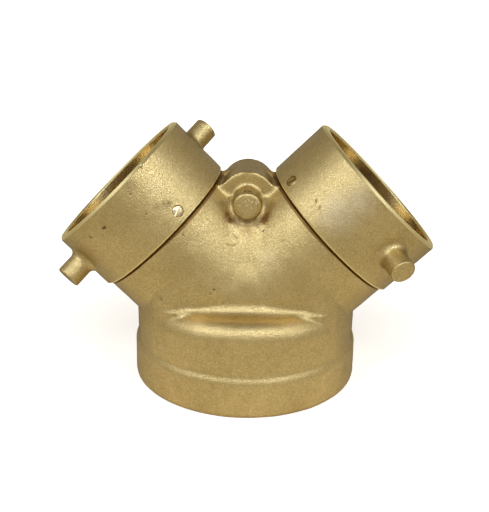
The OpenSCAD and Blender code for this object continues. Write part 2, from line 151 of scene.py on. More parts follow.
# Faint rings: place, radius, half width and strength
RINGS = [((-8, -33.3, 91.5), 3.2, 0.9, 0.3), ((69.6, -46.8, 115.5), 2.1, 0.8, 0.2),
         ((18.7, -22.7, 113.8), 2.2, 0.8, 0.3)]
# Bright specks on the boss's face: x, and height over the hinge
BOSS_SPECKS = [(-2.4, 2.4), (-0.9, 3.0), (0.9, 3.9), (3.0, 2.7), (-3.6, 0.3), (4.8, 2.4), (2.4, -0.3),
               (0.0, 1.2)]
# Stains and painted light: a colour, then places as for pits, with the share of the reach that is full
STAINS_AND_PAINTED_LIGHT = [
    # Painted highlights: the bright streak in the valley, and the left swivel's highlight
    (PAINTED_HIGHLIGHT, [((12.0, -38, 84), 8.0, 0.3, 0.1), ((11, -42, 74), 7.0, 0.3, 0.1),
                  ((-40, -47, 121), 14, 0.12, 0.1)]),
    # Painted highlights, whiter, on the bright sides of both swivels
    (PAINTED_WHITE_HIGHLIGHT, [((48, -47, 112), 15, 0.35, 0.1), ((58, -46, 118), 12, 0.3, 0.1),
                   ((-46, -46, 124), 8, 0.2, 0.1)]),
    # Painted shade: the valley's middle, the lower body, and the right swivel's foot by the seam
    (DEEP, [((-2, -44, 69), 15, 0.5, 0.2), ((0, -39, 80), 9, 0.35, 0.2), ((30, -44, 72), 14, 0.35, 0.1),
            ((-36, -44, 80), 12, 0.35, 0.1), ((62, -36, 56), 14, 0.5, 0.2), ((84, -40, 70), 16, 0.35, 0.1)]),
    # The first five: painted shade in the hollows round the boss's foot; the last five: reddish-brown patches
    # low on the hub
    (RED_BROWN, [((-9.8, -26, 103.0), 4.6, 0.8, 0.3), ((10.1, -26, 103.3), 4.6, 0.8, 0.3),
                 ((-12.5, -23, 109), 4.5, 0.45, 0.2), ((12.8, -23, 109), 4.5, 0.45, 0.2),
                 ((0.5, -29, 96.0), 5.5, 0.45, 0.2), ((-36, -56, 12), 7, 0.22, 0.1),
                 ((-45, -49, 6), 8, 0.22, 0.1), ((58, -32, 12), 8, 0.25, 0.1),
                 ((-22, -62, 4), 7, 0.18, 0.1), ((30, -59, 3), 8, 0.18, 0.1)]),
    # Painted shade in the corners at the boss's foot
    (BOSS_FOOT_SHADE, [((-8.6, -28, 101.2), 3.6, 1.0, 0.4), ((8.9, -28, 101.5), 3.6, 1.0, 0.4),
                  ((-10.4, -27, 104.4), 2.8, 0.7, 0.3), ((10.8, -27, 104.6), 2.8, 0.6, 0.3)]),
    # Painted highlights: the bright arcs of the fillet below the boss
    (SPECK, [((-4.6, -25.5, 97.6), 1.5, 0.9, 0.5), ((-3.0, -25, 96.6), 1.3, 0.9, 0.5),
             ((4.8, -25.5, 97.8), 1.5, 0.9, 0.5), ((3.2, -25, 96.8), 1.3, 0.9, 0.5)]),
    (SPECK, [((x, -BOSS_FACE, HINGE_Z + z), 0.8, 0.8, 0.5) for x, z in BOSS_SPECKS]),
    # Painted light: the cove below the ledge, made paler than its shading gives
    (PAINTED_COVE_LIGHT, [((x, -53, 53.8), 9.0, 0.4, 0.3) for x in (-24, -12, 0, 12, 24)]),
    # The first two: painted shade at the ends of the cove; the next three: painted shade under the boss; the
    # last three: greyish-brown patches on the left swivel
    (GREY_BROWN, [((37.0, -48.5, 53.5), 4.6, 0.65, 0.1), ((-37.0, -48.5, 53.5), 4.6, 0.65, 0.1),
                  ((0, -25.5, 99.3), 4.2, 0.75, 0.5), ((-5.2, -26, 98.9), 4.0, 0.75, 0.5),
                  ((5.4, -26, 99.1), 4.0, 0.75, 0.5), ((-42.5, -41.5, 113.5), 4.0, 0.5, 0.3),
                  ((-60.6, -44, 124.2), 5.0, 0.35, 0.3), ((-47, -43, 112.6), 3.0, 0.4, 0.3)])]

# Lamps: their colour, and the point they are turned to, in metres
COOL, LIT_POINT = (0.93, 1.00, 1.15), (0, 0, 0.07)
# Studio: what rays other than the camera's see of the world, as stops of height and colour
SKY_IN_FRONT = [(0.0, (0.62, 0.57, 0.48)), (0.38, (0.95, 0.89, 0.80)), (0.95, (0.24, 0.19, 0.11))]
SKY_BEHIND = [(0.0, (1.30, 1.20, 1.00)), (0.30, (0.75, 0.68, 0.55)), (0.95, (0.24, 0.19, 0.11))]
WORLD_STRENGTH, WORLD_WHITE = 0.54, (1.9, 1.9, 1.9)
# Floor: its half side, its colour near the part and far away, and its colour to the eye
FLOOR_HALF, FLOOR_NEAR, FLOOR_FAR = 6000.0, (0.94, 0.848, 0.665), (0.52, 0.455, 0.335)
FLOOR_SEEN = (0.90, 0.85, 0.75)
# From how near to how far, in metres, the floor changes
FLOOR_REACH = (0.09, 0.35)
# How much brighter than its shading the floor shows to the eye, near the part and far away
FLOOR_LIFT = (0.55, 1.0)

# Corners of the lattices, and how fine they are
BODY_LATTICE = ((-86, -69, -2), (86, 69, 127))
SWIVEL_LATTICE = ((-62, -49, -3), (62, 49, SWIVEL_L + 3))
CASTING_VOXEL = 1.0
SWIVEL_VOXEL = 0.75
THREAD_STEP = 0.22


# ---- meshes ---------------------------------------------------------------------------------

def make_mesh_object(name, points, faces):
    """A mesh object from points in millimetres and faces as rows of point numbers."""
    mesh = bpy.data.meshes.new(name)
    faces = np.asarray(faces)
    mesh.vertices.add(len(points))
    mesh.vertices.foreach_set("co", (np.asarray(points, float) * MM).ravel())
    mesh.loops.add(faces.size)
    mesh.loops.foreach_set("vertex_index", faces.ravel())
    mesh.polygons.add(len(faces))
    mesh.polygons.foreach_set("loop_start", np.arange(0, faces.size, faces.shape[1]))
    mesh.update(calc_edges=True)
    mesh.validate()
    obj = bpy.data.objects.new(name, mesh)
    bpy.context.scene.collection.objects.link(obj)
    return obj


def tidy_mesh(obj, merge=1e-7):
    """Merges points that coincide and turns every face outwards."""
    bm = bmesh.new()
    bm.from_mesh(obj.data)
    bmesh.ops.remove_doubles(bm, verts=bm.verts, dist=merge)
    bmesh.ops.recalc_face_normals(bm, faces=bm.faces)
    bm.to_mesh(obj.data)
    bm.free()
    return obj


def turned(name, radii, heights, place=None):
    """A closed turned solid: point (i, j) lies at angle 2 pi j / n, radius radii[i, j], height heights[i].

    The first and the last row lie on the axis.
    """
    rows, steps = radii.shape
    angle = np.arange(steps) * 2 * np.pi / steps
    points = np.stack([radii * np.cos(angle), radii * np.sin(angle),
                       np.repeat(heights[:, None], steps, 1)], -1).reshape(-1, 3)
    i, j = np.meshgrid(np.arange(rows - 1), np.arange(steps), indexing="ij")
    here, beside = i * steps + j, i * steps + (j + 1) % steps
    faces = np.stack([here, beside, beside + steps, here + steps], -1)
    if place is not None:
        points = transform(place, points)
    return tidy_mesh(make_mesh_object(name, points, faces.reshape(-1, 4)))


def turned_profile(name, profile, place=None, steps=192):
    """A closed turned solid from (radius, height) pairs that start and end on the axis."""
    profile = np.asarray(profile, float)
    return turned(name, np.repeat(profile[:, :1], steps, 1), profile[:, 1], place)


def transform(matrix, points):
    """Points moved by a 4 x 4 matrix."""
    m = np.asarray(matrix, float)
    return points @ m[:3, :3].T + m[:3, 3]


def branch_place(side, turn=0.0):
    """The matrix that stands local +Z on a branch's axis, with height 0 where the axes cross."""
    c, s = SLOPE, side * SLOPE
    lean = np.array([[c, 0, s, 0], [0, 1, 0, 0], [-s, 0, c, BRANCH_Z], [0, 0, 0, 1]])
    ct, st = math.cos(turn), math.sin(turn)
    return lean @ np.array([[ct, -st, 0, 0], [st, ct, 0, 0], [0, 0, 1, 0], [0, 0, 0, 1]])


def raised(height):
    """The matrix that lifts by a height."""
    return np.array([[1, 0, 0, 0], [0, 1, 0, 0], [0, 0, 1, height], [0, 0, 0, 1]], float)


def hinge_place():
    """The matrix that lays local +Z on the hinge axis, pointing to the front."""
    return np.array([[1, 0, 0, 0], [0, 0, -1, 0], [0, 1, 0, HINGE_Z], [0, 0, 0, 1]], float)


def ball_hole_place(side):
    """The matrix that lays local +Z on the axis of a swivel's ball hole, pointing outwards."""
    out = np.array([[0, 1, 0, 0], [0, 0, -1, 0], [-1, 0, 0, SEAM + RACE_PLACE], [0, 0, 0, 1]])
    return branch_place(side, TURNS[side]) @ out


def block(name, outline, low, high, place=None):
    """A straight block: four corners (u, v) at height low and again at height high."""
    points = np.array([(u, v, h) for h in (low, high) for u, v in outline], float)
    quads = [(3, 2, 1, 0), (4, 5, 6, 7)] + [(i, (i + 1) % 4, (i + 1) % 4 + 4, i + 4) for i in range(4)]
    if place is not None:
        points = transform(place, points)
    return tidy_mesh(make_mesh_object(name, points, quads))


def combine(obj, tools, operation="DIFFERENCE"):
    """Cuts the tools from obj, or joins them to it, and removes the tools."""
    for tool in tools:
        modifier = obj.modifiers.new(tool.name, "BOOLEAN")
        modifier.object = tool
        modifier.operation = operation
        modifier.solver = "MANIFOLD"
        bpy.context.view_layer.update()
        result = bpy.data.meshes.new_from_object(obj.evaluated_get(bpy.context.evaluated_depsgraph_get()))
        obj.modifiers.clear()
        if len(result.polygons) == 0:
            raise RuntimeError(f"{obj.name}: nothing is left after {tool.name}")
        old = obj.data
        obj.data = result
        bpy.data.meshes.remove(old)
        bpy.data.objects.remove(tool)
    return obj


def shade(obj, angle=35):
    """Smooth shading, with edges sharper than the angle kept crisp."""
    obj.data.shade_smooth()
    obj.data.set_sharp_from_angle(angle=math.radians(angle))
    return obj


# ---- distance fields -----------------------------------------------------------------------------
# A field is negative inside the metal, positive outside, and about a distance near the surface.

def blend_round(a, b, r):
    """The union of two fields with a hollow fillet of radius r where they meet at a corner."""
    return np.maximum(r, np.minimum(a, b)) - np.hypot(np.maximum(r - a, 0), np.maximum(r - b, 0))


def cut_round(a, b, r):
    """The part common to two fields, with their shared edge rounded to radius r."""
    return np.minimum(-r, np.maximum(a, b)) + np.hypot(np.maximum(r + a, 0), np.maximum(r + b, 0))


def rod(radial, along, r, half, edge):
    """A round rod of radius r and half length half, its end edges rounded by edge."""
    return cut_round(radial - r, np.abs(along) - half, edge)


def waviness(x, y, z, size, seed, longest=26.0, shortest=7.0, count=14):
    """Slow unevenness of a sand casting: the mean of plane sine waves in random directions."""
    rng = np.random.default_rng(seed)
    total = 0
    for _ in range(count):
        direction = rng.normal(size=3)
        direction *= 2 * np.pi / (np.linalg.norm(direction) * rng.uniform(shortest, longest))
        total = total + np.sin(direction[0] * x + direction[1] * y + direction[2] * z + rng.uniform(0, 6.3))
    return size * total / math.sqrt(count)


def surface_of(name, field, low, high, voxel, place=None):
    """The zero surface of a field between two corners.

    The field is sampled on a lattice, quads are drawn where it changes sign, and each point then
    slides down the field's slope by its value over the slope's size, three times.
    """
    axes = [np.arange(a, b + voxel, voxel) for a, b in zip(low, high)]
    x, y, z = np.meshgrid(*axes, indexing="ij", sparse=True)
    samples = np.broadcast_to(field(x, y, z), [len(a) for a in axes]).astype(np.float32)
    grid = openvdb.FloatGrid(10.0)
    grid.copyFromArray(np.ascontiguousarray(samples))
    points, faces = grid.convertToQuads(0.0)
    points = points.astype(float) * voxel + np.asarray(low, float)
    step = 0.05
    for _ in range(3):
        p = points.T
        value = field(*p)
        slope = np.stack([(field(*(p + step * e[:, None])) - field(*(p - step * e[:, None]))) / (2 * step)
                          for e in np.eye(3)], -1)
        size = np.maximum((slope ** 2).sum(-1), 0.05)
        move = slope * (value / size)[:, None]
        reach = np.maximum(np.linalg.norm(move, axis=1) / (0.8 * voxel), 1)
        points = points - move / reach[:, None]
    if place is not None:
        points = transform(place, points)
    return tidy_mesh(make_mesh_object(name, points, faces))


def casting_field(x, y, z):
    """The outside of the casting as one field.

    Hub: a rod about Z, its radius less by HUB_DRAFT at the top, cut by a cone that starts at the neck's
    radius and leans by BAND_TILT. Neck: a rod about Z whose top falls by CROWN_FALL times x squared, and
    whose rounding grows by SHOULDER_GROWTH times x squared.

    Each branch is a rod of radius BRANCH_R about its own axis. The valley between them has a fillet of
    radius VALLEY_R, scaled by 1 - cos(half the angle between the two surfaces), so that it is nothing
    where they touch.

    Column: everything between the planes y = -BRANCH_R and y = BRANCH_R and within the neck's radius.
    Below each branch the column is the flank. The apron is the column narrowed by APRON_LEAN times the
    height over the shoulder squared, and by CLOSE_LEAN times the height over CLOSE_START squared. The
    ledge is the column's face leaned by LEDGE_TILT, through a line that lies above the shoulder by
    LEDGE_H and RISE_H, each fading in a straight line to the sides.

    The hinge barrel and the pin boss are rods about the hinge axis, and the web is a box below it.
    """
    around = np.hypot(x, y)
    hub = np.maximum(around + HUB_DRAFT * z / HUB_H - HUB_R, z - HUB_H)
    band = (around - NECK_R) * math.cos(BAND_TILT) + (z - HUB_H) * math.sin(BAND_TILT)
    hub = cut_round(hub, band, BAND_ROUND)
    crown = NECK_TOP - CROWN_FALL * x ** 2
    neck = cut_round(around - NECK_R, z - crown, SHOULDER_ROUND + SHOULDER_GROWTH * x ** 2)
    base = blend_round(hub, np.maximum(neck, NECK_FOOT - z), BAND_ROUND)

    branch = []
    for side in (LEFT, RIGHT):
        along = SLOPE * (side * x + z - BRANCH_Z)
        across = SLOPE * (x - side * (z - BRANCH_Z))
        tube = np.maximum(np.hypot(across, y) - BRANCH_R, -along)
        branch.append(np.maximum(tube, along - SEAM - 3 * SPARE))
    fade = 1 - np.sqrt((1 + np.minimum(np.abs(y) / BRANCH_R, 1) ** 2) / 2)
    branches = blend_round(branch[0], branch[1], VALLEY_R * fade / (1 - SLOPE) + 0.01)

    inset = 0.1
    ends = around - NECK_R + inset
    column = cut_round(np.abs(y) - BRANCH_R + inset, ends, FLANK_CORNER)
    flank = np.maximum(column, (z - BRANCH_Z - np.abs(x)) * SLOPE)
    apron = (column + APRON_LEAN * np.maximum(z - crown - APRON_START, 0) ** 2
             + CLOSE_LEAN * np.maximum(z - BRANCH_Z - CLOSE_START, 0) ** 2)
    flank = np.minimum(flank, np.maximum(apron, (z - BRANCH_Z - APRON_TOP) * SLOPE))
    lift = (LEDGE_H * np.clip((LEDGE_END - np.abs(x)) / LEDGE_FADE, 0, 1)
            + RISE_H * np.clip((RISE_END - np.abs(x)) / RISE_FADE, 0, 1))
    ledge = column * math.cos(LEDGE_TILT) + (z - crown - lift) * math.sin(LEDGE_TILT)
    ledge = cut_round(np.maximum(ledge, column - lift * math.tan(LEDGE_TILT)), ends, LEDGE_ROUND)
    upper = np.maximum(blend_round(np.minimum(branches, flank), ledge, LEDGE_FILLET), HUB_H - z)
    cove = COVE_R - COVE_LOSS * np.clip((np.abs(x) - COVE_START) / COVE_FADE, 0, 1)
    lower = blend_round(base, upper, cove)

    from_hinge = np.hypot(x, z - HINGE_Z)
    web = np.maximum(np.maximum(z - WEB_TOP, WEB_FOOT - z), np.abs(x) - WEB_HALF)
    barrel = blend_round(from_hinge - BARREL_R, web, WEB_FILLET)
    barrel = cut_round(barrel, np.abs(y) - BARREL_HALF, BARREL_ROUND)
    boss = rod(from_hinge, y + BOSS_FACE / 2, BOSS_R, BOSS_FACE / 2, BOSS_ROUND)
    crotch = blend_round(barrel, boss, BOSS_FILLET)
    metal = np.minimum(blend_round(lower, crotch, CROTCH_FILLET), blend_round(lower, boss, BOSS_FOOT_FILLET))
    return cut_round(metal + waviness(x, y, z, BODY_WAVES, seed=4), FOOT_Z - z, HUB_ROUND)


def swivel_field(x, y, z):
    """The outside of a swivel: a rod about Z and two lugs, which are one rod about X, with hollow feet."""
    shell = rod(np.hypot(x, y), z - SWIVEL_L / 2, SWIVEL_R, SWIVEL_L / 2 + 1.5 * SPARE, SWIVEL_ROUND)
    lugs = rod(np.hypot(y, z - LUG_PLACE), x, LUG_R, LUG_TIP, LUG_ROUND)
    return blend_round(shell, lugs, LUG_FILLET) + waviness(x, y, z, SWIVEL_WAVES, seed=7)


# ---- bores ------------------------------------------------------------------------------------------

def thread(heights, steps, pitch, depth, low, high):
    """Radius to add for a screw thread: depth times a triangle wave of (height - pitch * angle / 2 pi).

    The wave is stretched by FLAT and clipped, and fades in and out over half a pitch at heights low and
    high. Gives an array of rows by steps.
    """
    angle = np.arange(steps)[None, :] / steps
    phase = heights[:, None] / pitch - angle
    wave = 4 * np.abs(phase - np.floor(phase + 0.5)) - 1
    wave = np.clip(FLAT * wave, -1, 1)
    ends = np.clip((heights - low) * 2 / pitch, 0, 1) * np.clip((high - heights) * 2 / pitch, 0, 1)
    return depth * wave * ends[:, None]


def threaded_bore(name, before, r, pitch, depth, low, high, after, place=None, steps=224):
    """A turned cutter: (radius, height) pairs, then a threaded stretch from low to high, then pairs."""
    rows = np.linspace(low, high, int((high - low) / THREAD_STEP))
    profile = np.array(list(before) + [(r, h) for h in rows] + list(after), float)
    radii = np.repeat(profile[:, :1], steps, 1)
    part = slice(len(before), len(before) + len(rows))
    radii[part] += thread(rows, steps, pitch, depth, low, high)
    return turned(name, radii, profile[:, 1], place)


def arc(r0, z0, r, start, end, count=8):
    """Points of a round stretch of a profile, from one angle to another in degrees."""
    a = np.radians(np.linspace(start, end, count))
    return list(zip(r0 + r * np.cos(a), z0 + r * np.sin(a)))


def casting_cutters():
    """Every hollow of the casting: the outlet, the branches, and what the clapper and its pin need."""
    cutters = [threaded_bore(
        "outlet_bore", [(0, -SPARE), (OUTLET_R + 2.4, -SPARE), (OUTLET_R + 1.2, 0.2)],
        OUTLET_R, PIPE_PITCH, PIPE_DEPTH, 1.4, OUTLET_L - 1.2,
        [(OUTLET_R, OUTLET_L), (NECK_BORE_R, OUTLET_L + 1), (NECK_BORE_R, NECK_TOP - 14),
         (BRANCH_BORE_R, NECK_TOP - 3), (0, NECK_TOP - 3)])]
    tail_end = SEAM + TAIL_L
    for side in (LEFT, RIGHT):
        cutters.append(turned_profile(
            NAMES[side] + "_branch_bore",
            [(0, 0), (BRANCH_BORE_R, 0), (BRANCH_BORE_R, SEAT - SEAT_ROUND)]
            + arc(BRANCH_BORE_R - SEAT_ROUND, SEAT - SEAT_ROUND, SEAT_ROUND, 0, 90)
            + [(WATERWAY_R + 4.2, SEAT), (WATERWAY_R + 3.6, SEAT - SEAT_RISE),
               (WATERWAY_R + 0.8, SEAT - SEAT_RISE), (WATERWAY_R, SEAT + 0.3), (WATERWAY_R, tail_end - 1),
               (WATERWAY_R + 2, tail_end + SPARE), (0, tail_end + SPARE)], branch_place(side)))
    across = np.array([[0, 0, 1, 0], [0, 1, 0, 0], [-1, 0, 0, HINGE_Z - (HINGE_Z - BRANCH_Z) / math.sqrt(2)],
                       [0, 0, 0, 1]])
    cutters.append(turned_profile(
        "clapper_room", [(0, -ROOM_HALF), (ROOM_R, -ROOM_HALF), (ROOM_R, ROOM_HALF), (0, ROOM_HALF)], across))
    cutters.append(turned_profile(
        "knuckle_pocket",
        [(0, -POCKET_HALF), (POCKET_R, -POCKET_HALF), (POCKET_R, POCKET_HALF), (0, POCKET_HALF)],
        hinge_place(), 96))
    cutters.append(arm_slot())
    cutters.append(turned_profile(
        "pin_hole", [(0, -PIN_BACK), (PIN_R, -PIN_BACK), (PIN_R, PLUG_SEAT), (PLUG_HOLE_R, PLUG_SEAT),
                     (PLUG_HOLE_R, BOSS_FACE + 4 * SPARE), (0, BOSS_FACE + 4 * SPARE)], hinge_place(), 96))
    return cutters


def arm_slot():
    """The wedge below the hinge in which the clapper's arm swings: four corners, carried front to back."""
    near, far = ARM_HALF * SLOPE, ARM_REACH * SLOPE
    outline = [(near, near), (far + near, near - far), (-far - near, near - far), (-near, near)]
    return block("arm_slot", outline, -POCKET_HALF, POCKET_HALF, hinge_place())


def tailpiece(side):
    """The turned tailpiece with its half of the ball race."""
    race, tail_end = SEAM + RACE_PLACE, SEAM + TAIL_L
    return turned_profile(
        NAMES[side] + "_tailpiece",
        [(0, SEAT + 3), (TAIL_R, SEAT + 3), (TAIL_R, race - RACE_GROOVE_R)]
        + arc(RACE_R, race, RACE_GROOVE_R, 269, 91, 13)
        + [(TAIL_R, race + RACE_GROOVE_R), (TAIL_R, tail_end - 1), (TAIL_R - 1, tail_end), (0, tail_end)],
        branch_place(side))


def seam_trim(side):
    """A cutter for all that lies beyond the seam: a flat face, a bevel outside BEVEL_R, and a flat again."""
    face, low, past, far = SEAM + SEAM_FACE, SEAM - BEVEL_DROP, 60, SEAM + 30
    return turned_profile(NAMES[side] + "_seam_trim", [
        (0, face), (BEVEL_R, face), (BEVEL_END_R, low), (past, low), (past, far), (0, far)],
        branch_place(side))


def make_casting():
    """The body: outside field, trimmed at the seams, tailpieces added and all hollows cut."""
    body = surface_of("body_casting", casting_field, *BODY_LATTICE, CASTING_VOXEL)
    combine(body, [seam_trim(side) for side in (LEFT, RIGHT)])
    combine(body, [tailpiece(side) for side in (LEFT, RIGHT)], "UNION")
    combine(body, casting_cutters())
    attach(body, "fixed_body")
    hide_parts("body")
    return shade(body)


def make_swivel(side):
    """One swivel: outside field, then skirt, race, gasket seat, hose thread and mouth cut inside.

    The two faces are cut last: each cutter has a 45 degree cone that makes the chamfer, and runs flat
    beyond SWIVEL_R, so that it clears the lugs.
    """
    name = NAMES[side] + "_swivel"
    place = branch_place(side, TURNS[side]) @ raised(SEAM + SEAM_GAP)
    swivel = surface_of(name + "_shell", swivel_field, *SWIVEL_LATTICE, SWIVEL_VOXEL, place)
    race = RACE_PLACE - SEAM_GAP
    step = SWIVEL_L - MOUTH_L
    bore = threaded_bore(
        name + "_bore",
        [(0, -SPARE), (SKIRT_R + 1.4, -SPARE), (SKIRT_R, 0.4), (SKIRT_R, race - RACE_GROOVE_R)]
        + arc(RACE_R, race, RACE_GROOVE_R, -89, 89, 13)
        + [(SKIRT_R, race + RACE_GROOVE_R), (SKIRT_R, GASKET_FRONT)],
        HOSE_R, HOSE_PITCH, HOSE_DEPTH, GASKET_FRONT + 0.01, step - (MOUTH_R - HOSE_R),
        [(MOUTH_R, step), (MOUTH_R, SWIVEL_L - MOUTH_BEVEL),
         (MOUTH_R + MOUTH_BEVEL + SPARE, SWIVEL_L + SPARE), (0, SWIVEL_L + SPARE)], place)
    low, high = BALL_HOLE_ENDS
    ball_hole = turned_profile(
        name + "_ball_hole", [(0, low), (BALL_HOLE_R, low), (BALL_HOLE_R, high), (0, high)],
        ball_hole_place(side), 48)
    past, mouth_end, skirt_end = LUG_TIP + 1.5, SWIVEL_L - MOUTH_EDGE - SPARE, SKIRT_EDGE + SPARE
    mouth_face = turned_profile(name + "_mouth_face", [
        (0, SWIVEL_L), (SWIVEL_R - MOUTH_EDGE, SWIVEL_L), (SWIVEL_R + SPARE, mouth_end), (past, mouth_end),
        (past, 50), (0, 50)], place)
    skirt_face = turned_profile(name + "_skirt_face", [
        (0, -9), (past, -9), (past, skirt_end), (SWIVEL_R + SPARE, skirt_end), (SWIVEL_R - SKIRT_EDGE, 0),
        (0, 0)], place)
    combine(swivel, [bore, ball_hole, mouth_face, skirt_face])
    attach(swivel, name + "_assembly")
    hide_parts(name)
    return shade(swivel)


def make_ball_plug(side):
    """The plug of a ball hole: a turned slug with a stepped edge and a slot, proud or sunken."""
    name = NAMES[side] + "_ball_plug"
    top, turn = SLUG_TOPS[side], SLOT_TURNS[side]
    hole = ball_hole_place(side)
    plug = turned_profile(
        name + "_slug",
        [(0, SLUG_FOOT), (SLUG_R, SLUG_FOOT), (SLUG_R, top - 1.0), (SLUG_STEP_R, top - 0.8),
         (SLUG_STEP_R, top - 0.2), (SLUG_EDGE_R, top), (0, top)], hole, 48)
    c, s = math.cos(turn), math.sin(turn)
    corners = [(-SLOT_HALF_L, -SLOT_HALF_W), (SLOT_HALF_L, -SLOT_HALF_W), (SLOT_HALF_L, SLOT_HALF_W),
               (-SLOT_HALF_L, SLOT_HALF_W)]
    outline = [(c * u - s * v, s * u + c * v) for u, v in corners]
    combine(plug, [block(name + "_slot", outline, top - SLOT_DEPTH, top + SPARE, hole)])
    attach(plug, NAMES[side] + "_swivel_assembly")
    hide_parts(name)
    return shade(plug)


# ---- finishes ---------------------------------------------------------------------------------------

class Nodes:
    """Short ways to add shader nodes to a material, or to the world."""

    def __init__(self, owner, space="Object"):
        owner.use_nodes = True
        self.owner, self.tree = owner, owner.node_tree
        self.shader = self.tree.nodes.get("Principled BSDF")
        self.coords = self.add("TexCoord").outputs[space]
        self.shaken = None

    def add(self, kind):
        return self.tree.nodes.new("ShaderNode" + kind)

    def link(self, source, target):
        self.tree.links.new(source, target)

    def math(self, operation, *values):
        node = self.add("Math")
        node.operation = operation
        for socket, value in zip(node.inputs, values):
            if isinstance(value, (int, float)):
                socket.default_value = value
            else:
                self.link(value, socket)
        return node.outputs[0]

    def vector(self, operation, a, b, output="Vector"):
        node = self.add("VectorMath")
        node.operation = operation
        for socket, value in zip(node.inputs, (a, b)):
            if isinstance(value, tuple):
                socket.default_value = value
            else:
                self.link(value, socket)
        return node.outputs[output]

    def length(self, a):
        return self.vector("LENGTH", a, (0, 0, 0), "Value")

    def ragged(self):
        """Object coordinates shaken by up to 1.5 mm each way, for marks with uneven edges."""
        if self.shaken is None:
            node = self.add("TexNoise")
            node.inputs["Scale"].default_value = RAGGED
            self.link(self.coords, node.inputs["Vector"])
            shift = self.vector("SUBTRACT", node.outputs["Color"], (0.5, 0.5, 0.5))
            shift = self.vector("MULTIPLY", shift, (3 * MM, 3 * MM, 3 * MM))
            self.shaken = self.vector("ADD", self.coords, shift)
        return self.shaken

    def away_from(self, place):
        """Distance from a place in millimetres, measured in metres on the ragged coordinates."""
        return self.vector("DISTANCE", self.ragged(), tuple(MM * c for c in place), "Value")

    def near(self, place, reach, strength, core=0.5):
        """Strength near a place up to core times reach, falling to 0 at reach; all in millimetres."""
        return self.level(self.away_from(place), reach * MM, core * reach * MM, 0, strength)

    def ring(self, place, r, width, strength):
        """Strength on a broken ring of radius r round a place, all in millimetres."""
        off = self.math("ABSOLUTE", self.math("SUBTRACT", self.away_from(place), r * MM))
        whole = self.level(off, width * MM, 0.2 * width * MM, 0, strength)
        return self.math("MULTIPLY", whole, self.level(self.noise(RING_BREAKS, 1), 0.42, 0.56, 0, 1))

    def any_of(self, sockets):
        """The greatest of several values."""
        result = sockets[0]
        for socket in sockets[1:]:
            result = self.math("MAXIMUM", result, socket)
        return result

    def polar(self):
        """Distance from the Z axis, and height."""
        around = self.length(self.vector("MULTIPLY", self.coords, (1, 1, 0)))
        return around, self.vector("DOT_PRODUCT", self.coords, (0, 0, 1), "Value")

    def branch_polar(self):
        """Place along a branch's axis and distance from it; the two branches mirror each other."""
        folded = self.vector("ABSOLUTE", self.coords, (0, 0, 0))
        folded = self.vector("SUBTRACT", folded, (0, 0, BRANCH_Z * MM))
        along = self.vector("DOT_PRODUCT", folded, (SLOPE, 0, SLOPE), "Value")
        return along, self.length(self.vector("CROSS_PRODUCT", folded, (SLOPE, 0, SLOPE)))

    def noise(self, scale, detail=3.0, roughness=0.55):
        node = self.add("TexNoise")
        node.inputs["Scale"].default_value = scale
        node.inputs["Detail"].default_value = detail
        node.inputs["Roughness"].default_value = roughness
        self.link(self.coords, node.inputs["Vector"])
        return node.outputs["Fac"]

    def ramp(self, source, stops):
        node = self.add("ValToRGB")
        elements = node.color_ramp.elements
        while len(elements) < len(stops):
            elements.new(0.5)
        for element, (place, colour) in zip(elements, stops):
            element.position = place
            element.color = (*colour, 1)
        self.link(source, node.inputs["Fac"])
        return node.outputs["Color"]

    def level(self, source, low, high, out_low, out_high):
        """A straight line from out_low at low to out_high at high, level beyond both."""
        node = self.add("MapRange")
        for key, value in (("From Min", low), ("From Max", high), ("To Min", out_low), ("To Max", out_high)):
            node.inputs[key].default_value = value
        self.link(source, node.inputs["Value"])
        return node.outputs["Result"]

    def below(self, source, edge, blur, full=1):
        """Full where a length is under edge, falling to 0 at edge + blur; both are millimetres."""
        return self.level(source, (edge + blur) * MM, edge * MM, 0, full)

    def above(self, source, edge, blur, full=1):
        """Full where a length is over edge, falling to 0 at edge - blur; both are millimetres."""
        return self.level(source, (edge - blur) * MM, edge * MM, 0, full)

    def mix(self, factor, a, b):
        node = self.add("Mix")
        node.data_type = "RGBA"
        for socket, value in ((node.inputs[0], factor), (node.inputs[6], a), (node.inputs[7], b)):
            if isinstance(value, (int, float)):
                socket.default_value = value
            elif isinstance(value, tuple):
                socket.default_value = (*value, 1)
            else:
                self.link(value, socket)
        return node.outputs[2]

    def bump(self, height, strength, distance, below=None):
        node = self.add("Bump")
        node.inputs["Strength"].default_value = strength
        node.inputs["Distance"].default_value = distance
        self.link(height, node.inputs["Height"])
        if below is not None:
            self.link(below, node.inputs["Normal"])
        return node.outputs["Normal"]


